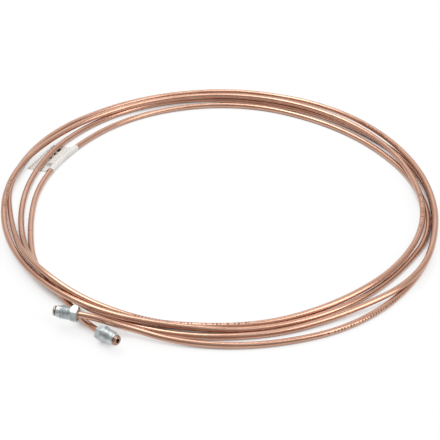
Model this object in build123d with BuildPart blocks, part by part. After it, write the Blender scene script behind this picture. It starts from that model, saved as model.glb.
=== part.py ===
from build123d import *
import os
from math import cos, pi, radians, sin, sqrt, tan

# Sizes of the tube, in millimetres
TUBE_D = 4.75
TUBE_WALL = 0.7
COIL_R = 165.0

# Sizes of the flared end of the tube
FLARE_RISE = 1.4
FLARE_BACK = 0.6
FLARE_RIM = 0.2
FLARE_NOSE = 1.2
FLARE_LIP = 0.35

# Sizes of the tube nut
NUT_AF = 11.0
NUT_HEX = 5.2
NUT_LENGTH = 16.3
NUT_THREAD_D = 10.0
NUT_LEAD = 2.6
NUT_LEAD_D = 8.6
NUT_BORE_GAP = 0.1
NUT_CORNER_CUT = 0.7
CORNER_CUT_ANGLE = 30.0
HEX_SIDES = 6
NUT_NOSE_CUT = 0.6
NUT_GAP = 0.1
START_FLATS = 8.0
FINISH_FLATS = -2.0

# Sizes of the label that is folded around one turn
LABEL_LENGTH = 41.0
LABEL_REACH = 20.7
LABEL_SHEET = 0.12
LABEL_GAP = 0.05
LABEL_LEAVE_ANGLE = 40.0
FLAG_LAP = 3.0
FLAG_SLANT = 3.4
LABEL_PLACE_SHARE = 0.9379

# Where the tube lies, at sixteen points around each turn: how far outside the
# middle of the coil and how high above the floor, both in tube diameters
TURN_SHARES = [
    [
        (0.9, 0.4), (1.4, 0), (2.45, 0), (2.7, 0), (2.55, 0), (2.4, 0), (1.45, 0), (0.4, 0),
        (0, 0), (0.7, 0), (0.85, 0), (0.4, 0.12), (-0.25, 0.12), (-0.45, 0), (0.06, 1.42), (-0.27, 0.5),
    ],
    [
        (-0.78, 0), (-0.7, 0), (0.15, 0.35), (2.8, 1.15), (2.6, 1.1), (2.3, 1.1), (2.25, 1.05), (3.15, 0.35),
        (3.45, 0), (3.35, 0), (3.55, 0), (4.0, 0), (3.1, 0), (1.04, 0.36), (0.58, 2.41), (-0.92, 1.39),
    ],
    [
        (-2.85, 0), (-3.1, 0), (-2.5, 0.4), (-0.75, 1.15), (0.35, 1.1), (0.4, 1.1), (0.4, 1.1), (0.15, 1.1),
        (0, 1.1), (0.05, 1.1), (0.75, 1.1), (2.0, 0.85), (2.7, 1.1), (2.25, 1.1), (1.4, 1.39), (0.22, 1.56),
    ],
    [
        (-1.87, 0.62), (-2.0, 0), (-1.45, 0), (-0.3, 0), (1.4, 0), (0.5, 0), (-0.9, 0), (-1.75, 0),
        (-1.8, 0), (-2.0, 0), (-2.25, 0), (-2.7, 0.07), (-2.5, 0.07), (-2.09, 0), (-0.26, 0.15),
    ],
]
CENTRE_SHARES = (0.037, -0.863)
POINT_ANGLE = 22.5
FIRST_ANGLE = 258.75

# Where each end of the tube leaves its nut: angle around the coil, shares as above, the run's
# heading over the floor and its slope
START_ANGLE = 236.0
START_SHARES = (3.08, 2.16)
START_HEADING = -11.5
START_SLOPE = -1.4
START_LEAD_ANGLES = [247.5]
START_LEAD_SHARES = [(0.95, 0.95)]
FINISH_LEAD_ANGLES = [225.0]
FINISH_LEAD_SHARES = [(0.17, 0.01)]
FINISH_ANGLE = 242.35
FINISH_SHARES = (3.485, 0.965)
FINISH_HEADING = -42.1
FINISH_SLOPE = 8.3

tube_r = TUBE_D / 2
bore_r = tube_r - TUBE_WALL
end_run = NUT_LENGTH + NUT_GAP
flare_r = tube_r + FLARE_RISE
rim_end = FLARE_BACK + FLARE_RIM
flare_length = rim_end + FLARE_NOSE
hex_corner_r = NUT_AF / 2 / cos(pi / HEX_SIDES)
hex_face_r = hex_corner_r - NUT_CORNER_CUT / tan(radians(CORNER_CUT_ANGLE))
thread_r = NUT_THREAD_D / 2
lead_r = NUT_LEAD_D / 2
lead_from = NUT_LENGTH - NUT_LEAD
fold_r = tube_r + LABEL_GAP
sleeve_r = fold_r + LABEL_SHEET
flag_sheet = 2 * LABEL_SHEET
leave_x = cos(radians(LABEL_LEAVE_ANGLE))
leave_y = sin(radians(LABEL_LEAVE_ANGLE))
seam_in = fold_r * (1 + leave_y) / leave_x
seam_out = (sleeve_r + leave_y * (sleeve_r - flag_sheet)) / leave_x
centre = Vector(CENTRE_SHARES[0] * TUBE_D, CENTRE_SHARES[1] * TUBE_D, 0)


def place(angle, shares):
    """The middle of the tube at this angle around the coil"""
    out, up = shares
    radius = COIL_R + out * TUBE_D
    level = Vector(radius * cos(radians(angle)), radius * sin(radians(angle)), 0)
    return centre + level + Vector(0, 0, tube_r + up * TUBE_D)


def heading(angle, slope):
    """The direction of a run with this heading and slope"""
    level = cos(radians(slope))
    return Vector(level * cos(radians(angle)), level * sin(radians(angle)), sin(radians(slope)))


# Points that the tube passes through, and the way it runs at each
start_way = heading(START_HEADING, START_SLOPE)
finish_way = heading(FINISH_HEADING, FINISH_SLOPE)
start_exit = place(START_ANGLE, START_SHARES)
finish_exit = place(FINISH_ANGLE, FINISH_SHARES)
start_tip = start_exit - start_way * end_run
finish_tip = finish_exit + finish_way * end_run
start_side = start_way.cross(Vector(0, 0, 1)).normalized()
finish_side = finish_way.cross(Vector(0, 0, 1)).normalized()
ends = [(start_tip, start_way * -1, start_side), (finish_tip, finish_way, finish_side)]
points = [start_exit]
lying = [False]
for angle, shares in zip(START_LEAD_ANGLES, START_LEAD_SHARES):
    points.append(place(angle, shares))
    lying.append(False)
angle = FIRST_ANGLE
for turn in TURN_SHARES:
    for shares in turn:
        points.append(place(angle, shares))
        lying.append(shares[1] == 0)
        angle = angle + POINT_ANGLE
for angle, shares in zip(FINISH_LEAD_ANGLES, FINISH_LEAD_SHARES):
    points.append(place(angle, shares))
    lying.append(False)
points.append(finish_exit)
ways = [start_way]
for i in range(1, len(points) - 1):
    before = points[i] - points[i - 1]
    after = points[i + 1] - points[i]
    way = before * (after.length / before.length) + after * (before.length / after.length)
    if lying[i]:
        way = Vector(way.X, way.Y, 0)
    ways.append(way.normalized())
ways.append(finish_way)


def meeting(p, p_way, q, q_way):
    """Where two tangent arcs from p to q meet, and the way there"""
    chord = q - p
    both = p_way + q_way
    spread = 2 * (1 - p_way.dot(q_way))
    lean = chord.dot(both)
    reach = chord.dot(chord) / (lean + sqrt(lean * lean + spread * chord.dot(chord)))
    near = p + p_way * reach
    far = q - q_way * reach
    return (near + far) * 0.5, (far - near).normalized()


# The tube, with its bore and its two flared ends
with BuildPart() as copper_tube:
    with BuildLine() as run:
        Line(start_tip, start_exit)
        for i in range(len(points) - 1):
            joint, joint_way = meeting(points[i], ways[i], points[i + 1], ways[i + 1])
            TangentArc(points[i], joint, tangent=ways[i])
            TangentArc(joint, points[i + 1], tangent=joint_way)
        Line(finish_exit, finish_tip)
    tube_line = run.wires()[0]
    with BuildSketch(Plane(start_tip, z_dir=start_way)):
        Circle(tube_r)
        Circle(bore_r, mode=Mode.SUBTRACT)
    sweep(path=tube_line)
    for tip, out_way, side in ends:
        with BuildSketch(Plane(tip, x_dir=out_way, z_dir=side)):
            with BuildLine():
                Polyline((0, tube_r), (FLARE_BACK, flare_r), (rim_end, flare_r))
                TangentArc((rim_end, flare_r), (flare_length, bore_r + FLARE_LIP), tangent=(1, 0))
                Polyline(
                    (flare_length, bore_r + FLARE_LIP),
                    (flare_length, bore_r),
                    (rim_end, flare_r - TUBE_WALL),
                    (FLARE_BACK, flare_r - TUBE_WALL),
                    (0, bore_r),
                    (0, tube_r),
                )
            make_face()
        revolve(axis=Axis(tip, out_way))
copper_tube.part.label = "copper_tube"

# The form of a tube nut, standing on the back face of its hexagon
with BuildPart() as nut:
    with BuildSketch():
        RegularPolygon(NUT_AF / 2, HEX_SIDES, major_radius=False)
    extrude(amount=NUT_HEX)
    with BuildSketch(Plane.XZ):
        with BuildLine():
            Polyline(
                (0, 0),
                (hex_face_r, 0),
                (hex_corner_r, NUT_CORNER_CUT),
                (hex_corner_r, NUT_HEX - NUT_CORNER_CUT),
                (hex_face_r, NUT_HEX),
                (0, NUT_HEX),
                close=True,
            )
        make_face()
    revolve(axis=Axis.Z, mode=Mode.INTERSECT)
    with BuildSketch(Plane.XZ):
        with BuildLine():
            Polyline(
                (0, NUT_HEX / 2),
                (thread_r, NUT_HEX / 2),
                (thread_r, lead_from - (thread_r - lead_r)),
                (lead_r, lead_from),
                (lead_r, NUT_LENGTH - NUT_NOSE_CUT),
                (lead_r - NUT_NOSE_CUT, NUT_LENGTH),
                (0, NUT_LENGTH),
                close=True,
            )
        make_face()
    revolve(axis=Axis.Z)
    with BuildSketch():
        Circle(tube_r + NUT_BORE_GAP)
    extrude(amount=NUT_LENGTH, mode=Mode.SUBTRACT)

# The nut on the first end of the tube
with BuildPart() as start_nut:
    with Locations(Plane(start_exit, x_dir=start_side, z_dir=start_way * -1)):
        add(nut.part, rotation=(0, 0, START_FLATS))
start_nut.part.label = "start_nut"

# The nut on the other end
with BuildPart() as finish_nut:
    with Locations(Plane(finish_exit, x_dir=finish_side, z_dir=finish_way)):
        add(nut.part, rotation=(0, 0, FINISH_FLATS))
finish_nut.part.label = "finish_nut"

# The label: one sheet around the last turn, its two halves meeting in a flat flag
label_half = LABEL_LENGTH / 2 / tube_line.length
label_middle = tube_line @ LABEL_PLACE_SHARE
label_out = (tube_line % LABEL_PLACE_SHARE).cross(Vector(0, 0, 1)).normalized()
flag_low = label_middle.Z - sleeve_r
flag_plane = Plane((label_middle.X, label_middle.Y, flag_low), x_dir=label_out, z_dir=(0, 0, 1))
with BuildPart() as label:
    with BuildLine() as fold:
        add(tube_line.trim(LABEL_PLACE_SHARE - label_half, LABEL_PLACE_SHARE + label_half))
    fold_way = fold.line % 0
    fold_out = fold_way.cross(Vector(0, 0, 1)).normalized()
    with BuildSketch(Plane(fold.line @ 0, x_dir=fold_out, z_dir=fold_way * -1)):
        with BuildLine():
            ThreePointArc(
                (0, -sleeve_r), (-sleeve_r, 0), (sleeve_r * leave_x, sleeve_r * leave_y)
            )
            Polyline(
                (sleeve_r * leave_x, sleeve_r * leave_y),
                (seam_out, flag_sheet - sleeve_r),
                (seam_out + FLAG_LAP, flag_sheet - sleeve_r),
                (seam_out + FLAG_LAP, -sleeve_r),
                (0, -sleeve_r),
            )
        make_face()
        with BuildLine():
            ThreePointArc((0, -fold_r), (-fold_r, 0), (fold_r * leave_x, fold_r * leave_y))
            Polyline((fold_r * leave_x, fold_r * leave_y), (seam_in, -fold_r), (0, -fold_r))
        make_face(mode=Mode.SUBTRACT)
    sweep(path=fold.wires()[0])
    with BuildSketch(flag_plane):
        with BuildLine():
            Polyline(
                (seam_out, -LABEL_LENGTH / 2),
                (LABEL_REACH, FLAG_SLANT - LABEL_LENGTH / 2),
                (LABEL_REACH, FLAG_SLANT + LABEL_LENGTH / 2),
                (seam_out, LABEL_LENGTH / 2),
                close=True,
            )
        make_face()
    extrude(amount=flag_sheet)
label.part.label = "label"

os.makedirs("parts", exist_ok=True)
export_step(copper_tube.part, "parts/copper_tube.step")
export_step(start_nut.part, "parts/start_nut.step")
export_step(finish_nut.part, "parts/finish_nut.step")
export_step(label.part, "parts/label.step")
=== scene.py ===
from math import asin, cos, pi, radians, sin, sqrt, tan

import bmesh
import bpy
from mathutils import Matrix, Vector


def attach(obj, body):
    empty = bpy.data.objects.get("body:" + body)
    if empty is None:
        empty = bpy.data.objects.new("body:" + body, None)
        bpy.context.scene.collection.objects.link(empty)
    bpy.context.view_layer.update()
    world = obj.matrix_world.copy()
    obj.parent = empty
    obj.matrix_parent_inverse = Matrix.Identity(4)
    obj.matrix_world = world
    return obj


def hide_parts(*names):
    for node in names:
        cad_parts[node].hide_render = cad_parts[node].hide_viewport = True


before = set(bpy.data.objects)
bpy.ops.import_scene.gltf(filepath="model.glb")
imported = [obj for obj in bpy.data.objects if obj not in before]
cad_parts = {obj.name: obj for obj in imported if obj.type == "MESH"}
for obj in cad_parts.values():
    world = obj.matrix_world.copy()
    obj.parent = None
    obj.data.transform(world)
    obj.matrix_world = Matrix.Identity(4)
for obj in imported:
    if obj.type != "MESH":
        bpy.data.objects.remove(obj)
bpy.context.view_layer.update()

# Sizes are in millimetres and angles in degrees unless a heading says otherwise
MM = 0.001
UP = Vector((0, 0, 1))

# Sizes of the tube and the radius that the turns are measured from
TUBE_D = 4.75
TUBE_WALL = 0.7
COIL_R = 165.0

# Sizes of the flared end of the tube
FLARE_RISE = 1.4
FLARE_BACK = 0.6
FLARE_RIM = 0.2
FLARE_NOSE = 1.2
FLARE_LIP = 0.35

# How the tube swells to the flare: shares of FLARE_BACK and of FLARE_RISE
FLARE_SWELL = [(0.0, 0.0), (0.3, 0.42), (0.75, 0.914286), (1.0, 1.0)]

# Sizes of the tube nut
NUT_AF = 11.0
NUT_HEX = 5.2
NUT_LENGTH = 16.3
NUT_THREAD_D = 10.0
NUT_PITCH = 1.0
NUT_THREAD_DEPTH = 0.6
NUT_LEAD = 2.6
NUT_LEAD_D = 8.6
NUT_BORE_GAP = 0.1
NUT_CORNER_CUT = 0.7
NUT_CUT_ANGLE = 30.0
NUT_NOSE_CUT = 0.6
NUT_GAP = 0.1
HEX_SIDES = 6

# How far each hexagon is turned about the tube
START_FLATS = 8.0
FINISH_FLATS = -2.0

# Form of the thread's groove: how steep its flanks are, and how much of it is taken off at the crest
GROOVE_STEEP = 1.3
GROOVE_CREST = 0.15

# Sizes of the label that is folded around one turn, and its place as a share of the tube's length
LABEL_LENGTH = 41.0
LABEL_REACH = 20.7
LABEL_SHEET = 0.12
LABEL_GAP = 0.05
LABEL_BOTTOM_ANGLE = 270.0
LABEL_LEAVE_ANGLE = 40.0
LABEL_PLACE_SHARE = 0.9379
FLAG_SLANT = 3.4
FLAG_CURL = 0.5
CURL_FROM_SHARE = 0.75

# Distance between the middles of the flag's two sheets, in sheets
FLAG_LIFT = 1.04

# The tube's place at sixteen points a turn: shares of its diameter out from COIL_R and up from the floor
TURN_SHARES = [
    [
        (0.9, 0.4), (1.4, 0), (2.45, 0), (2.7, 0), (2.55, 0), (2.4, 0), (1.45, 0), (0.4, 0),
        (0, 0), (0.7, 0), (0.85, 0), (0.4, 0.12), (-0.25, 0.12), (-0.45, 0), (0.06, 1.42), (-0.27, 0.5),
    ],
    [
        (-0.78, 0), (-0.7, 0), (0.15, 0.35), (2.8, 1.15), (2.6, 1.1), (2.3, 1.1), (2.25, 1.05), (3.15, 0.35),
        (3.45, 0), (3.35, 0), (3.55, 0), (4.0, 0), (3.1, 0), (1.04, 0.36), (0.58, 2.41), (-0.92, 1.39),
    ],
    [
        (-2.85, 0), (-3.1, 0), (-2.5, 0.4), (-0.75, 1.15), (0.35, 1.1), (0.4, 1.1), (0.4, 1.1), (0.15, 1.1),
        (0, 1.1), (0.05, 1.1), (0.75, 1.1), (2.0, 0.85), (2.7, 1.1), (2.25, 1.1), (1.4, 1.39), (0.22, 1.56),
    ],
    [
        (-1.87, 0.62), (-2.0, 0), (-1.45, 0), (-0.3, 0), (1.4, 0), (0.5, 0), (-0.9, 0), (-1.75, 0),
        (-1.8, 0), (-2.0, 0), (-2.25, 0), (-2.7, 0.07), (-2.5, 0.07), (-2.09, 0), (-0.26, 0.15),
    ],
]
CENTRE_SHARES = (0.037, -0.863)
POINT_ANGLE = 22.5
FIRST_ANGLE = 258.75

# Where each end leaves its nut: angle around the coil, shares as above, heading over the floor and slope
START_ANGLE = 236.0
START_SHARES = (3.08, 2.16)
START_HEADING = -11.5
START_SLOPE = -1.4
FINISH_ANGLE = 242.35
FINISH_SHARES = (3.485, 0.965)
FINISH_HEADING = -42.1
FINISH_SLOPE = 8.3

# One more point between each nut and the turns
START_LEAD_ANGLE = 247.5
START_LEAD_SHARES = (0.95, 0.95)
FINISH_LEAD_ANGLE = 225.0
FINISH_LEAD_SHARES = (0.17, 0.01)

# How finely the pieces are meshed
TUBE_STEP = 2.4
TUBE_SIDES = 24
BORE_STRIDE = 3
DOME_STEPS = 10
NUT_SIDES = 96
CORNER_STEPS = 6
THREAD_STEPS = 10
FOLD_ROWS = 34
FOLD_ARC = 28
SLOPE_STEPS = 4
FLAG_STEPS = 12

# A run that bends less than this is taken as straight
STRAIGHT_LIMIT = 1e-6

# Distance between a shoulder of the nut and the thread's first or last ring
THREAD_EDGE = 1e-4

# Vertices closer than this are merged, in metres
WELD_DISTANCE = 1e-7

# Edges with a smaller angle than this are shaded smooth
TUBE_SMOOTH = 40
NUT_SMOOTH = 28
LABEL_SMOOTH = 50

# Stretches of dashes: where each begins and ends along the tube, and its share of the way round
DASH_STRETCHES = [
    (172, 256, 0.165), (1512, 1570, -0.13), (2196, 2284, 0.0), (2463, 2515, -0.02),
    (3014, 3060, -0.05), (3424, 3474, -0.03), (4058, 4096, 0.155),
]
DASH_SPACING = 2.6

# What chance adds to a dash and its least size: share of the spacing, and half height
DASH_LENGTH = (0.45, 0.2)
DASH_HALF_HEIGHT = (0.5, 0.42)

# Share of the dashes that is left out
DASH_LEFT_OUT = 0.15

# Places on the maps that no dash and no mark on the label reaches
OFF_PRINT = 9
OFF_SHEET = -50

# Flares lie from this mark down on the tube's map, in metres, and the first one within this reach of it
FLARE_MARK = -1
FIRST_FLARE_REACH = 0.5

# Bars and lines on the label: middle along the tube and half length, middle out from it and half width
LABEL_BARS = [(-12.0, 2.3, 12.1, 1.0), (-5.6, 1.3, 12.1, 1.0), (1.4, 1.4, 12.2, 1.0)]
LABEL_LINES = [(10.2, 2.4, 5.9, 0.42), (9.8, 3.0, 7.2, 0.42), (10.2, 2.4, 8.5, 0.42)]

# Colours, and tones as places in a noise with a colour for each
COPPER_TONES = [(0.3, (0.50, 0.268, 0.183)), (0.7, (0.655, 0.39, 0.283))]
COPPER_STREAKS = [(0.35, (0.455, 0.232, 0.154)), (0.65, (0.68, 0.41, 0.295))]
DULL_TONES = [(0.3, (0.30, 0.17, 0.125)), (0.7, (0.44, 0.27, 0.205))]
TAN_TONES = [(0.3, (0.37, 0.33, 0.28)), (0.7, (0.50, 0.455, 0.39))]
DASH_COLOUR = (0.19, 0.092, 0.057)
ZINC_TONES = [(0.3, (0.45, 0.485, 0.49)), (0.7, (0.65, 0.685, 0.685))]
PAPER_TONES = [(0.3, (0.66, 0.635, 0.6)), (0.7, (0.75, 0.725, 0.69))]
BAR_COLOUR = (0.012, 0.011, 0.01)
LINE_COLOUR = (0.2, 0.21, 0.205)
FLOOR_COLOUR = (0.9, 0.9, 0.9)

# Noises: scale and detail
STREAK_NOISE = (1.0, 3.0)
PATCH_NOISE = (45.0, 4.0)
ZINC_CLOUD = (260.0, 3.0)
ZINC_GRAIN = (2200.0, 2.0)
PAPER_CLOUD = (70.0, 2.0)
PAPER_FIBRE = (900.0, 5.0)

# How the streaks are stretched along and around the tube, and their share in the copper's colour
STREAK_STRETCH = (25, 40, 1)
STREAK_SHARE = 0.4

# Roughness that follows a noise: what the noise adds and the least value
COPPER_ROUGH = (0.14, 0.185)
ZINC_ROUGH = (0.2, 0.28)

# Fine relief: strength, and depth in metres
COPPER_RELIEF = (0.08, 0.0002)
ZINC_RELIEF = (0.1, 0.00005)
PAPER_RELIEF = (0.15, 0.00005)

# How metallic the copper is: the change under a dash, and the value elsewhere
DASH_METAL = (-0.6, 1.0)

# Other values of the surfaces
FILM_WEIGHT = 0.4
FILM_ROUGHNESS = 0.2
PAPER_ROUGHNESS = 0.55
FLOOR_ROUGHNESS = 0.9
FLOOR_SHINE = 0.1

# The camera stands where the photo was taken from, at a distance in metres
VIEW_ELEVATION = 36.43
VIEW_DISTANCE = 0.896
LENS = 88.0
SHIFT_X = 0.0025
SHIFT_Y = -0.0343

# The floor: half its side in metres and how much of it is plain white
FLOOR_HALF = 4.0
FLOOR_WHITE_SHARE = 0.8

# Shading close to the coil: its reach in metres, and how open a place is at the darkest and the whitest
CONTACT_REACH = 0.015
CONTACT_DARK = 0.2
CONTACT_OPEN = 0.55

# The world: the way to its bright side, and its strength on the dim and on the bright side
BRIGHT_WAY = (0.0, 0.75, 0.66)
DIM_LIGHT = 0.1
BRIGHT_LIGHT = 0.9

# Lamps: name, place, aim and size in metres, and power in watts
LAMPS = [
    ("softbox", (-0.34, 0.35, 1.3), (0, 0, 0), (0.86, 0.6), 7.0),
    ("side_light", (0.98, -0.62, 0.95), (0.1, -0.12, 0), (0.46, 1.9), 8.8),
    ("back_light", (0, 1.3, 0.95), (0, 0, 0), (0.9, 0.6), 0.7),
]

tube_r = TUBE_D / 2
bore_r = tube_r - TUBE_WALL
end_run = NUT_LENGTH + NUT_GAP
centre = Vector((CENTRE_SHARES[0] * TUBE_D, CENTRE_SHARES[1] * TUBE_D, 0))


def place(angle, shares):
    """The middle of the tube at this angle around the coil"""
    out, up = shares
    radius = COIL_R + out * TUBE_D
    level = Vector((radius * cos(radians(angle)), radius * sin(radians(angle)), 0))
    return centre + level + UP * (tube_r + up * TUBE_D)


def heading(angle, slope):
    """The direction of a run with this heading and slope"""
    level = cos(radians(slope))
    return Vector((level * cos(radians(angle)), level * sin(radians(angle)), sin(radians(slope))))


start_way = heading(START_HEADING, START_SLOPE)
finish_way = heading(FINISH_HEADING, FINISH_SLOPE)
start_exit = place(START_ANGLE, START_SHARES)
finish_exit = place(FINISH_ANGLE, FINISH_SHARES)


def stations():
    """The points that the tube passes through, and the way it runs at each"""
    points = [start_exit, place(START_LEAD_ANGLE, START_LEAD_SHARES)]
    lying = [False, False]
    angle = FIRST_ANGLE
    for turn in TURN_SHARES:
        for shares in turn:
            points.append(place(angle, shares))
            lying.append(shares[1] == 0)
            angle = angle + POINT_ANGLE
    points += [place(FINISH_LEAD_ANGLE, FINISH_LEAD_SHARES), finish_exit]
    lying += [False, False]
    ways = [start_way]
    for i in range(1, len(points) - 1):
        before = points[i] - points[i - 1]
        after = points[i + 1] - points[i]
        way = before * (after.length / before.length) + after * (before.length / after.length)
        if lying[i]:
            way.z = 0
        ways.append(way.normalized())
    ways.append(finish_way)
    return points, ways


def meeting(p, p_way, q, q_way):
    """Where two tangent arcs from p to q meet, and the way there"""
    chord = q - p
    spread = 2 * (1 - p_way.dot(q_way))
    lean = chord.dot(p_way + q_way)
    reach = chord.dot(chord) / (lean + sqrt(lean * lean + spread * chord.dot(chord)))
    near = p + p_way * reach
    far = q - q_way * reach
    return (near + far) * 0.5, (far - near).normalized()


def arc(p, p_way, q):
    """Points and ways along the arc that leaves p along p_way and ends at q"""
    chord = q - p
    across = chord - p_way * chord.dot(p_way)
    count = max(1, round(chord.length / TUBE_STEP))
    if across.length < STRAIGHT_LIMIT:
        return [(p + chord * (k / count), p_way) for k in range(1, count + 1)]
    inward = across.normalized()
    radius = chord.dot(chord) / (2 * across.length)
    sweep = 2 * asin(chord.length / (2 * radius))
    found = []
    for k in range(1, count + 1):
        turn = sweep * k / count
        at = p + p_way * (radius * sin(turn)) + inward * (radius * (1 - cos(turn)))
        found.append((at, p_way * cos(turn) + inward * sin(turn)))
    return found


def tube_line():
    """Points and ways all along the tube, nut to nut"""
    points, ways = stations()
    found = [(points[0], ways[0])]
    for i in range(len(points) - 1):
        joint, joint_way = meeting(points[i], ways[i], points[i + 1], ways[i + 1])
        found += arc(points[i], ways[i], joint)
        found += arc(joint, joint_way, points[i + 1])
    return found


def along_line(line, run):
    """The place and way at this distance along the line"""
    left = run
    for (a, a_way), (b, b_way) in zip(line, line[1:]):
        step = (b - a).length
        if left <= step:
            return a.lerp(b, left / step), a_way.lerp(b_way, left / step).normalized()
        left -= step
    return line[-1]


def axes_across(way):
    """The two axes across a run: level to its right, and over it"""
    side = way.cross(UP).normalized()
    return side, side.cross(way)


def mesh_object(name, vertices, faces, body, material, smooth_angle):
    """A piece from vertices in millimetres"""
    mesh = bpy.data.meshes.new(name)
    mesh.from_pydata([v * MM for v in vertices], [], faces)
    mesh.validate()
    mesh.shade_smooth()
    mesh.set_sharp_from_angle(angle=radians(smooth_angle))
    mesh.materials.append(material)
    piece = bpy.data.objects.new(name, mesh)
    bpy.context.scene.collection.objects.link(piece)
    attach(piece, body)
    return piece


def loop_faces(rings, columns, sides):
    """Quads between rings of vertices, the last ring joined to the first"""
    faces = []
    for i in range(rings):
        here = i * columns
        there = (i + 1) % rings * columns
        for j in range(sides):
            k = (j + 1) % columns
            faces.append((here + j, here + k, there + k, there + j))
    return faces


def sheet_faces(rows, columns):
    """Quads of a sheet with two sides and four edges, the second side's vertices after the first's"""
    faces = []
    back = rows * columns
    for i in range(rows - 1):
        for j in range(columns - 1):
            a = i * columns + j
            b = a + columns
            faces.append((a, b, b + 1, a + 1))
            faces.append((back + a, back + a + 1, back + b + 1, back + b))
    for j in range(columns - 1):
        end = (rows - 1) * columns + j
        faces.append((j, j + 1, back + j + 1, back + j))
        faces.append((end, back + end, back + end + 1, end + 1))
    for i in range(rows - 1):
        a = i * columns
        b = a + columns
        faces.append((a, back + a, back + b, b))
        a += columns - 1
        b += columns - 1
        faces.append((a, b, back + b, back + a))
    return faces


def add_map(piece, name, places):
    """A UV map from one place for each vertex"""
    layer = piece.data.uv_layers.new(name=name)
    for loop, corner in zip(piece.data.loops, layer.data):
        corner.uv = places[loop.vertex_index]


class Nodes:
    """A material under construction"""

    def __init__(self, name):
        self.material = bpy.data.materials.new(name)
        self.material.use_nodes = True
        self.tree = self.material.node_tree
        self.shader = self.tree.nodes["Principled BSDF"]

    def add(self, kind, **settings):
        """A new node with values for its sockets or properties"""
        node = self.tree.nodes.new(kind)
        for key, value in settings.items():
            if key in node.inputs:
                node.inputs[key].default_value = value
            else:
                setattr(node, key, value)
        return node

    def feed(self, socket, value):
        """Set a socket to a number or a colour, or link an output to it"""
        if isinstance(value, (int, float)):
            socket.default_value = value
        elif isinstance(value, tuple):
            socket.default_value = (*value, 1)
        else:
            self.tree.links.new(value, socket)

    def surface(self, name, value):
        """Feed one of the shader's sockets"""
        self.feed(self.shader.inputs[name], value)

    def math(self, operation, *values):
        """The result of one step of arithmetic"""
        node = self.add("ShaderNodeMath", operation=operation)
        for socket, value in zip(node.inputs, values):
            self.feed(socket, value)
        return node.outputs[0]

    def ramp(self, factor, stops):
        """Colours along a factor"""
        node = self.add("ShaderNodeValToRGB")
        elements = node.color_ramp.elements
        for element, (position, colour) in zip(elements, stops):
            element.position = position
            element.color = (*colour, 1)
        self.feed(node.inputs[0], factor)
        return node.outputs[0]

    def blend(self, factor, first, second):
        """A mix of two colours, which go to sockets 6 and 7 of the node"""
        node = self.add("ShaderNodeMix", data_type="RGBA")
        self.feed(node.inputs[0], factor)
        self.feed(node.inputs[6], first)
        self.feed(node.inputs[7], second)
        return node.outputs[2]

    def noise(self, where, scale, detail):
        """A cloudy noise"""
        node = self.add("ShaderNodeTexNoise", Scale=scale, Detail=detail)
        self.feed(node.inputs["Vector"], where)
        return node.outputs["Fac"]

    def relief(self, height, strength, depth):
        """Fine relief on the surface"""
        node = self.add("ShaderNodeBump", Strength=strength, Distance=depth)
        self.feed(node.inputs["Height"], height)
        self.surface("Normal", node.outputs[0])

    def on_object(self):
        """Places in the object's own axes"""
        return self.add("ShaderNodeTexCoord").outputs["Object"]

    def on_map(self, name):
        """Places on a UV map"""
        return self.add("ShaderNodeUVMap", uv_map=name).outputs[0]

    def parts(self, where):
        """The first two parts of a place"""
        node = self.add("ShaderNodeSeparateXYZ")
        self.feed(node.inputs[0], where)
        return node.outputs[0], node.outputs[1]


def dash_mask(copper):
    """1 inside a dash and 0 elsewhere, each dash with a length and height by chance"""
    run, away = copper.parts(copper.on_map("print"))
    count = copper.math("DIVIDE", run, DASH_SPACING)
    draw = copper.add("ShaderNodeTexWhiteNoise", noise_dimensions="1D")
    copper.feed(draw.inputs["W"], copper.math("FLOOR", count))
    chance = draw.outputs["Value"]
    length = copper.math("MULTIPLY_ADD", chance, *DASH_LENGTH)
    half_height = copper.math("MULTIPLY_ADD", chance, *DASH_HALF_HEIGHT)
    within = copper.math("LESS_THAN", copper.math("FRACT", count), length)
    beside = copper.math("COMPARE", away, 0.0, half_height)
    printed = copper.math("GREATER_THAN", chance, DASH_LEFT_OUT)
    return copper.math("MULTIPLY", copper.math("MULTIPLY", within, beside), printed)


def copper_material():
    """Drawn copper under a thin clear film, with fine lines, dashes and dull flares, the first one tan"""
    copper = Nodes("copper_drawn")
    along = copper.on_map("along")
    stretch = copper.add("ShaderNodeMapping", Scale=STREAK_STRETCH)
    copper.feed(stretch.inputs[0], along)
    lines = copper.noise(stretch.outputs[0], *STREAK_NOISE)
    patches = copper.noise(copper.on_object(), *PATCH_NOISE)
    tone = copper.ramp(patches, COPPER_TONES)
    drawn = copper.blend(STREAK_SHARE, tone, copper.ramp(lines, COPPER_STREAKS))
    mark = copper.parts(along)[0]
    flare = copper.math("LESS_THAN", mark, 0.0)
    first_flare = copper.math("COMPARE", mark, FLARE_MARK, FIRST_FLARE_REACH)
    dull = copper.blend(first_flare, copper.ramp(lines, DULL_TONES), copper.ramp(lines, TAN_TONES))
    dash = dash_mask(copper)
    copper.surface("Base Color", copper.blend(dash, copper.blend(flare, drawn, dull), DASH_COLOUR))
    copper.surface("Metallic", copper.math("MULTIPLY_ADD", dash, *DASH_METAL))
    copper.surface("Roughness", copper.math("MULTIPLY_ADD", lines, *COPPER_ROUGH))
    copper.surface("Coat Weight", FILM_WEIGHT)
    copper.surface("Coat Roughness", FILM_ROUGHNESS)
    copper.relief(lines, *COPPER_RELIEF)
    return copper.material


def zinc_material():
    """Bright zinc plating, bluish grey, with a fine grain"""
    zinc = Nodes("zinc_plated_steel")
    where = zinc.on_object()
    cloud = zinc.noise(where, *ZINC_CLOUD)
    zinc.surface("Base Color", zinc.ramp(cloud, ZINC_TONES))
    zinc.surface("Metallic", 1.0)
    zinc.surface("Roughness", zinc.math("MULTIPLY_ADD", cloud, *ZINC_ROUGH))
    zinc.relief(zinc.noise(where, *ZINC_GRAIN), *ZINC_RELIEF)
    return zinc.material


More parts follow.
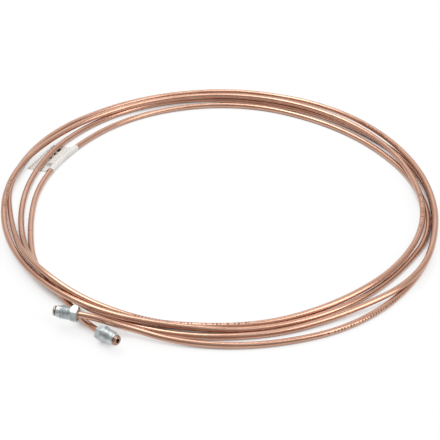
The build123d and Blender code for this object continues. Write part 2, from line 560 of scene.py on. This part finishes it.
def paper_material():
    """White label paper with a faint fibre, plain dark bars and fine grey lines"""
    paper = Nodes("label_white_paper")
    where = paper.on_object()
    tone = paper.ramp(paper.noise(where, *PAPER_CLOUD), PAPER_TONES)
    along, out = paper.parts(paper.on_map("sheet"))
    for marks, colour in ((LABEL_BARS, BAR_COLOUR), (LABEL_LINES, LINE_COLOUR)):
        marked = 0.0
        for middle_along, half_along, middle_out, half_out in marks:
            inside_along = paper.math("COMPARE", along, middle_along, half_along)
            inside_out = paper.math("COMPARE", out, middle_out, half_out)
            marked = paper.math("MAXIMUM", marked, paper.math("MULTIPLY", inside_along, inside_out))
        tone = paper.blend(marked, tone, colour)
    paper.surface("Base Color", tone)
    paper.surface("Roughness", PAPER_ROUGHNESS)
    paper.relief(paper.noise(where, *PAPER_FIBRE), *PAPER_RELIEF)
    return paper.material


def flare_profile():
    """Distance past the end of the nut and from the axis, from the tube out and back to the bore"""
    flare_r = tube_r + FLARE_RISE
    rim_end = FLARE_BACK + FLARE_RIM
    drop = flare_r - bore_r - FLARE_LIP
    dome_r = (FLARE_NOSE * FLARE_NOSE + drop * drop) / (2 * drop)
    dome_turn = asin(FLARE_NOSE / dome_r)
    if drop > dome_r:
        dome_turn = pi - dome_turn
    profile = [(FLARE_BACK * back, tube_r + FLARE_RISE * rise) for back, rise in FLARE_SWELL]
    profile.append((rim_end, flare_r))
    for k in range(1, DOME_STEPS + 1):
        turn = dome_turn * k / DOME_STEPS
        profile.append((rim_end + dome_r * sin(turn), flare_r - dome_r * (1 - cos(turn))))
    profile.append((rim_end + FLARE_NOSE, bore_r))
    profile.append((rim_end, flare_r - TUBE_WALL))
    profile.append((FLARE_BACK, flare_r - TUBE_WALL))
    profile.append((0, bore_r))
    return profile


def dash_facing(run):
    """The share of the way round at which the tube has dashes this far along, if any"""
    for begin, end, share in DASH_STRETCHES:
        if begin <= run <= end:
            return share
    return None


def dash_distance(share, facing):
    """Distance around the tube from the middle of the dashes"""
    if facing is None:
        return OFF_PRINT
    return ((share - facing + 0.5) % 1 - 0.5) * pi * TUBE_D


def make_tube(line):
    """The copper tube, as rings over one flare, along the outside, over the other and back inside"""
    start_tip = start_exit - start_way * end_run
    finish_tip = finish_exit + finish_way * end_run
    profile = flare_profile()
    rings = [(start_tip - start_way * past, start_way, radius) for past, radius in reversed(profile)]
    outside_from = len(rings)
    rings += [(at, way, tube_r) for at, way in line]
    outside_to = len(rings)
    rings += [(finish_tip + finish_way * past, finish_way, radius) for past, radius in profile]
    inside_from = len(rings)
    inside = line[:-1:BORE_STRIDE] + line[-1:]
    rings += [(at, way, bore_r) for at, way in reversed(inside)]
    vertices = []
    along = []
    dashes = []
    run = 0
    before = rings[0][0]
    for i, (at, way, radius) in enumerate(rings):
        side, over = axes_across(way)
        step = (at - before).length
        before = at
        if i == outside_from:
            run = 0
        elif i < inside_from:
            run += step
        else:
            run -= step
        facing = dash_facing(run) if outside_from < i < outside_to else None
        on_flare = 0 < i < outside_from or outside_to <= i < inside_from - 1
        for j in range(TUBE_SIDES + 1):
            share = j / TUBE_SIDES
            turn = 2 * pi * share
            vertices.append(at + (over * cos(turn) + side * sin(turn)) * radius)
            along.append((FLARE_MARK - run * MM if on_flare else run * MM, share))
            dashes.append((run, dash_distance(share, facing)))
    faces = loop_faces(len(rings), TUBE_SIDES + 1, TUBE_SIDES)
    copper = copper_material()
    tube = mesh_object("coiled_tube", vertices, faces, "coil", copper, TUBE_SMOOTH)
    add_map(tube, "along", along)
    add_map(tube, "print", dashes)
    weld = bmesh.new()
    weld.from_mesh(tube.data)
    bmesh.ops.remove_doubles(weld, verts=weld.verts, dist=WELD_DISTANCE)
    weld.to_mesh(tube.data)
    weld.free()
    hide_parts("copper_tube")


def nut_radius(height, turn):
    """Distance of the nut's outside from its axis at this height above its back face"""
    thread_r = NUT_THREAD_D / 2
    lead_r = NUT_LEAD_D / 2
    lead_from = NUT_LENGTH - NUT_LEAD
    if height <= NUT_HEX:
        half_side = pi / HEX_SIDES
        corner = NUT_AF / 2 / cos(half_side)
        to_face = min(height, NUT_HEX - height)
        cone = corner - max(0, NUT_CORNER_CUT - to_face) / tan(radians(NUT_CUT_ANGLE))
        flat = NUT_AF / 2 / cos(turn % (2 * half_side) - half_side)
        return min(flat, cone)
    if height >= lead_from:
        return min(lead_r, lead_r - NUT_NOSE_CUT + (NUT_LENGTH - height))
    phase = (height / NUT_PITCH - turn / (2 * pi)) % 1
    groove = min(1, max(0, abs(2 * phase - 1) * GROOVE_STEEP - GROOVE_CREST))
    fade = min(1, (height - NUT_HEX) / NUT_PITCH)
    taper = min(thread_r, lead_r + (lead_from - height))
    return max(min(taper, thread_r - NUT_THREAD_DEPTH * groove * fade), lead_r)


def nut_heights():
    """Heights of the rings over the outside of a nut, from its back face to its nose"""
    cut = [NUT_CORNER_CUT * k / CORNER_STEPS for k in range(CORNER_STEPS + 1)]
    hexagon = cut + [NUT_HEX / 2] + [NUT_HEX - depth for depth in reversed(cut)]
    thread_end = NUT_LENGTH - NUT_LEAD
    count = round((thread_end - NUT_HEX) / NUT_PITCH * THREAD_STEPS)
    first = NUT_HEX + THREAD_EDGE
    length = thread_end - NUT_HEX - 2 * THREAD_EDGE
    thread = [first + length * k / count for k in range(count + 1)]
    return hexagon + thread + [thread_end, NUT_LENGTH - NUT_NOSE_CUT, NUT_LENGTH]


def make_nut(name, node, body, exit_point, out_way, flats, material):
    """A tube nut with its hexagon, thread, lead and bore"""
    side, over = axes_across(out_way)
    hole = tube_r + NUT_BORE_GAP
    rings = [(height, None) for height in nut_heights()] + [(NUT_LENGTH, hole), (0, hole)]
    vertices = []
    for height, bore in rings:
        for j in range(NUT_SIDES):
            turn = 2 * pi * j / NUT_SIDES
            radius = nut_radius(height, turn) if bore is None else bore
            spin = turn + radians(flats)
            vertices.append(exit_point + out_way * height + (side * cos(spin) + over * sin(spin)) * radius)
    faces = [tuple(reversed(face)) for face in loop_faces(len(rings), NUT_SIDES, NUT_SIDES)]
    nut = mesh_object(name, vertices, faces, body, material, NUT_SMOOTH)
    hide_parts(node)


def fold_section(fold_r, seam, lift):
    """The sheet seen along the tube, from below it around to the slope that ends at the seam"""
    section = []
    for k in range(FOLD_ARC + 1):
        turn = radians(LABEL_BOTTOM_ANGLE - (LABEL_BOTTOM_ANGLE - LABEL_LEAVE_ANGLE) * k / FOLD_ARC)
        section.append((fold_r * cos(turn), fold_r * sin(turn)))
    leave_x, leave_y = section[-1]
    for k in range(1, SLOPE_STEPS + 1):
        part = k / SLOPE_STEPS
        section.append((leave_x + (seam - leave_x) * part, leave_y + (lift - fold_r - leave_y) * part))
    return section


def flag_half(near, far):
    """Places across half of the flag, from the seam to its curled edge, with their share of the way"""
    found = []
    for k in range(1, FLAG_STEPS + 1):
        part = k / FLAG_STEPS
        curl = max(0, part - CURL_FROM_SHARE) / (1 - CURL_FROM_SHARE)
        found.append((near.lerp(far, part) + UP * (FLAG_CURL * curl * curl), part))
    return found


def label_grid(line):
    """Rows of places over the middle of the label's sheet, and their places on its map"""
    length = 2 * end_run + sum((b[0] - a[0]).length for a, b in zip(line, line[1:]))
    middle_run = LABEL_PLACE_SHARE * length - end_run
    middle, middle_way = along_line(line, middle_run)
    out = axes_across(middle_way)[0]
    onward = UP.cross(out)
    fold_r = tube_r + LABEL_GAP + LABEL_SHEET / 2
    lift = LABEL_SHEET * FLAG_LIFT
    leave = radians(LABEL_LEAVE_ANGLE)
    seam = (fold_r + sin(leave) * (fold_r - lift)) / cos(leave)
    section = fold_section(fold_r, seam, lift)
    grid = []
    sheet = []
    for i in range(FOLD_ROWS + 1):
        ahead = LABEL_LENGTH * (i / FOLD_ROWS - 0.5)
        at, way = along_line(line, middle_run + ahead)
        side, over = axes_across(way)
        edge = middle + out * LABEL_REACH + onward * (ahead + FLAG_SLANT)
        halves = []
        for height in (-fold_r, lift - fold_r):
            near = at + side * seam + over * height
            halves.append(flag_half(near, Vector((edge.x, edge.y, middle.z + height))))
        lower, upper = halves
        row = []
        marks = []
        for spot, part in reversed(lower):
            row.append(spot)
            marks.append((ahead + FLAG_SLANT * part, OFF_SHEET))
        for k, (x, y) in enumerate(section):
            row.append(at + side * x + over * y)
            marks.append((ahead, x if k > FOLD_ARC else OFF_SHEET))
        for spot, part in upper:
            row.append(spot)
            marks.append((ahead + FLAG_SLANT * part, seam + (LABEL_REACH - seam) * part))
        grid.append(row)
        sheet.append(marks)
    return grid, sheet


def make_label(line):
    """The paper label: one sheet folded around the tube, its halves meeting in a flat flag"""
    grid, sheet = label_grid(line)
    rows = len(grid)
    columns = len(grid[0])
    vertices = []
    places = []
    for face_side in (1, -1):
        for i in range(rows):
            for j in range(columns):
                across = grid[i][min(j + 1, columns - 1)] - grid[i][max(j - 1, 0)]
                down = grid[min(i + 1, rows - 1)][j] - grid[max(i - 1, 0)][j]
                normal = down.cross(across).normalized()
                vertices.append(grid[i][j] + normal * (LABEL_SHEET / 2 * face_side))
                places.append(sheet[i][j] if face_side == -1 else (0, OFF_SHEET))
    faces = sheet_faces(rows, columns)
    paper = paper_material()
    label = mesh_object("folded_label", vertices, faces, "coil", paper, LABEL_SMOOTH)
    add_map(label, "sheet", places)
    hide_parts("label")


def make_camera():
    """A camera at the photo's viewing angle"""
    data = bpy.data.cameras.new("camera")
    data.lens = LENS
    data.shift_x = SHIFT_X
    data.shift_y = SHIFT_Y
    camera = bpy.data.objects.new("camera", data)
    back = Vector((0, -cos(radians(VIEW_ELEVATION)), sin(radians(VIEW_ELEVATION))))
    camera.location = centre * MM + back * VIEW_DISTANCE
    camera.rotation_euler = (radians(90 - VIEW_ELEVATION), 0, 0)
    bpy.context.scene.collection.objects.link(camera)
    bpy.context.scene.camera = camera


def floor_material():
    """A floor that is seen mostly as plain white, less so close to the coil, and keeps its shadow"""
    look = Nodes("white_floor")
    look.surface("Base Color", FLOOR_COLOUR)
    look.surface("Roughness", FLOOR_ROUGHNESS)
    look.surface("Specular IOR Level", FLOOR_SHINE)
    rays = look.add("ShaderNodeLightPath")
    seen = look.math("MAXIMUM", rays.outputs["Is Camera Ray"], rays.outputs["Is Glossy Ray"])
    seen = look.math("MAXIMUM", seen, rays.outputs["Is Transmission Ray"])
    shelter = look.add("ShaderNodeAmbientOcclusion", Distance=CONTACT_REACH)
    open_share = look.add("ShaderNodeMapRange")
    open_share.inputs["From Min"].default_value = CONTACT_DARK
    open_share.inputs["From Max"].default_value = CONTACT_OPEN
    look.feed(open_share.inputs["Value"], shelter.outputs["AO"])
    white_share = look.math("MULTIPLY", open_share.outputs[0], FLOOR_WHITE_SHARE)
    white = look.add("ShaderNodeEmission", Color=(1, 1, 1, 1), Strength=1.0)
    mixed = look.add("ShaderNodeMixShader")
    look.feed(mixed.inputs[0], look.math("MULTIPLY", seen, white_share))
    look.feed(mixed.inputs[1], look.shader.outputs[0])
    look.feed(mixed.inputs[2], white.outputs[0])
    look.feed(look.tree.nodes["Material Output"].inputs["Surface"], mixed.outputs[0])
    return look.material


def make_floor():
    """A plain square floor under the coil"""
    mesh = bpy.data.meshes.new("floor")
    corners = [(x * FLOOR_HALF, y * FLOOR_HALF, 0) for x, y in ((-1, -1), (1, -1), (1, 1), (-1, 1))]
    mesh.from_pydata(corners, [], [(0, 1, 2, 3)])
    mesh.materials.append(floor_material())
    floor = bpy.data.objects.new("floor", mesh)
    bpy.context.scene.collection.objects.link(floor)


def make_world():
    """Soft white light from all round, stronger from the bright side"""
    world = bpy.data.worlds.new("studio")
    bpy.context.scene.world = world
    world.use_nodes = True
    tree = world.node_tree
    direction = tree.nodes.new("ShaderNodeTexCoord")
    toward = tree.nodes.new("ShaderNodeVectorMath")
    toward.operation = "DOT_PRODUCT"
    toward.inputs[1].default_value = BRIGHT_WAY
    tree.links.new(direction.outputs["Generated"], toward.inputs[0])
    strength = tree.nodes.new("ShaderNodeMapRange")
    strength.inputs["From Min"].default_value = -1.0
    strength.inputs["To Min"].default_value = DIM_LIGHT
    strength.inputs["To Max"].default_value = BRIGHT_LIGHT
    tree.links.new(toward.outputs["Value"], strength.inputs["Value"])
    background = tree.nodes["Background"]
    background.inputs["Color"].default_value = (1, 1, 1, 1)
    tree.links.new(strength.outputs[0], background.inputs["Strength"])


def make_lamp(name, location, aim, size, power):
    """A rectangular lamp that points at its aim"""
    data = bpy.data.lights.new(name, "AREA")
    data.shape = "RECTANGLE"
    data.size, data.size_y = size
    data.energy = power
    lamp = bpy.data.objects.new(name, data)
    lamp.location = location
    lamp.rotation_euler = (Vector(aim) - Vector(location)).to_track_quat("-Z", "Y").to_euler()
    bpy.context.scene.collection.objects.link(lamp)


coil_line = tube_line()
make_tube(coil_line)
nut_zinc = zinc_material()
make_nut("start_nut_steel", "start_nut", "start_nut", start_exit, -start_way, START_FLATS, nut_zinc)
make_nut("finish_nut_steel", "finish_nut", "finish_nut", finish_exit, finish_way, FINISH_FLATS, nut_zinc)
make_label(coil_line)
make_camera()
make_floor()
make_world()
for lamp_values in LAMPS:
    make_lamp(*lamp_values)
bpy.context.scene.view_settings.view_transform = "Standard"
